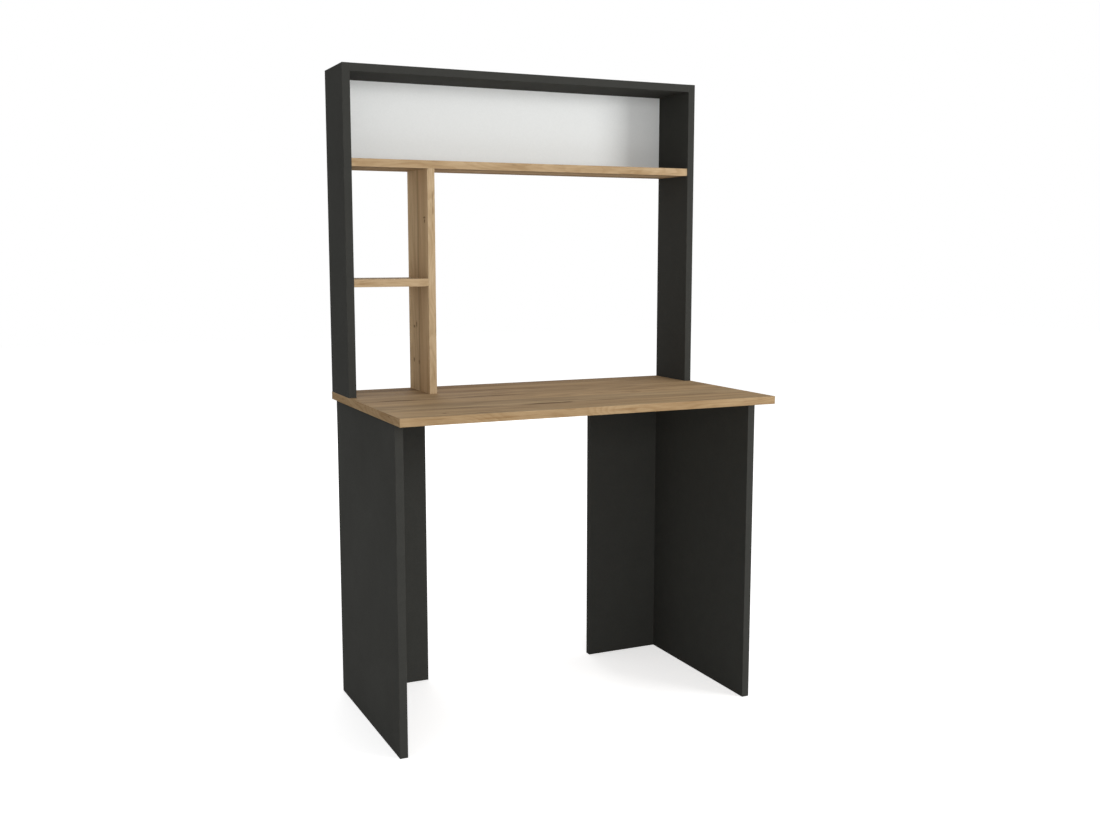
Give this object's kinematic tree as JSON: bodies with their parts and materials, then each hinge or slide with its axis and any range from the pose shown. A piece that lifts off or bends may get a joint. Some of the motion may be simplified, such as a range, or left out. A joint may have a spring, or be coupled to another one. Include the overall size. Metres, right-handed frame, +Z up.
{
  "type": "student desk with hutch",
  "caption": "Writing desk on two L-shaped panel legs with an open shelf hutch on its back edge: long top bay with a back panel, side cubbies and a monitor bay.",
  "frame": {"origin": "on the floor, under the middle of the desk top", "axes": "+X to the sitter's right, +Y from the sitter to the wall behind the desk, +Z up"},
  "size_m": [0.9, 0.52, 1.478],
  "materials": {
    "anthracite_board": "matt melamine on particle board",
    "anthracite_edge": "matt ABS edge band",
    "oak_board": "wood-grain melamine on particle board",
    "oak_edge": "wood-grain ABS edge band",
    "white_panel": "white-lacquered thin fibreboard",
    "beech": "plain fluted beech",
    "zinc_plated_steel": "bright zinc plate",
    "die_cast_zinc": "dull die-cast zinc",
    "oak_cap_plastic": "printed cover cap"
  },
  "bodies": {
    "root": {"left_leg_side": "anthracite_board", "left_leg_wing": "anthracite_board", "right_leg_side": "anthracite_board", "right_leg_wing": "anthracite_board", "left_hutch_side": "anthracite_board", "right_hutch_side": "anthracite_board", "hutch_top": "anthracite_board", "desk_top": "oak_board", "long_shelf": "oak_board", "divider": "oak_board", "small_shelf": "oak_board", "back_panel": "white_panel", "left_leg_side_band": "anthracite_edge", "left_leg_wing_band": "anthracite_edge", "right_leg_side_band": "anthracite_edge", "right_leg_wing_band": "anthracite_edge", "left_hutch_side_front_band": "anthracite_edge", "left_hutch_side_top_band": "anthracite_edge", "right_hutch_side_front_band": "anthracite_edge", "right_hutch_side_top_band": "anthracite_edge", "hutch_top_band": "anthracite_edge", "desk_top_front_band": "oak_edge", "desk_top_back_band": "oak_edge", "desk_top_left_band": "oak_edge", "desk_top_right_band": "oak_edge", "long_shelf_band": "oak_edge", "divider_band": "oak_edge", "small_shelf_band": "oak_edge", "dowels": "beech", "connecting_bolts": "zinc_plated_steel", "cam_housings": "die_cast_zinc", "hutch_screws": "zinc_plated_steel", "oak_cam_caps": "oak_cap_plastic"}
  },
  "joints": []
}
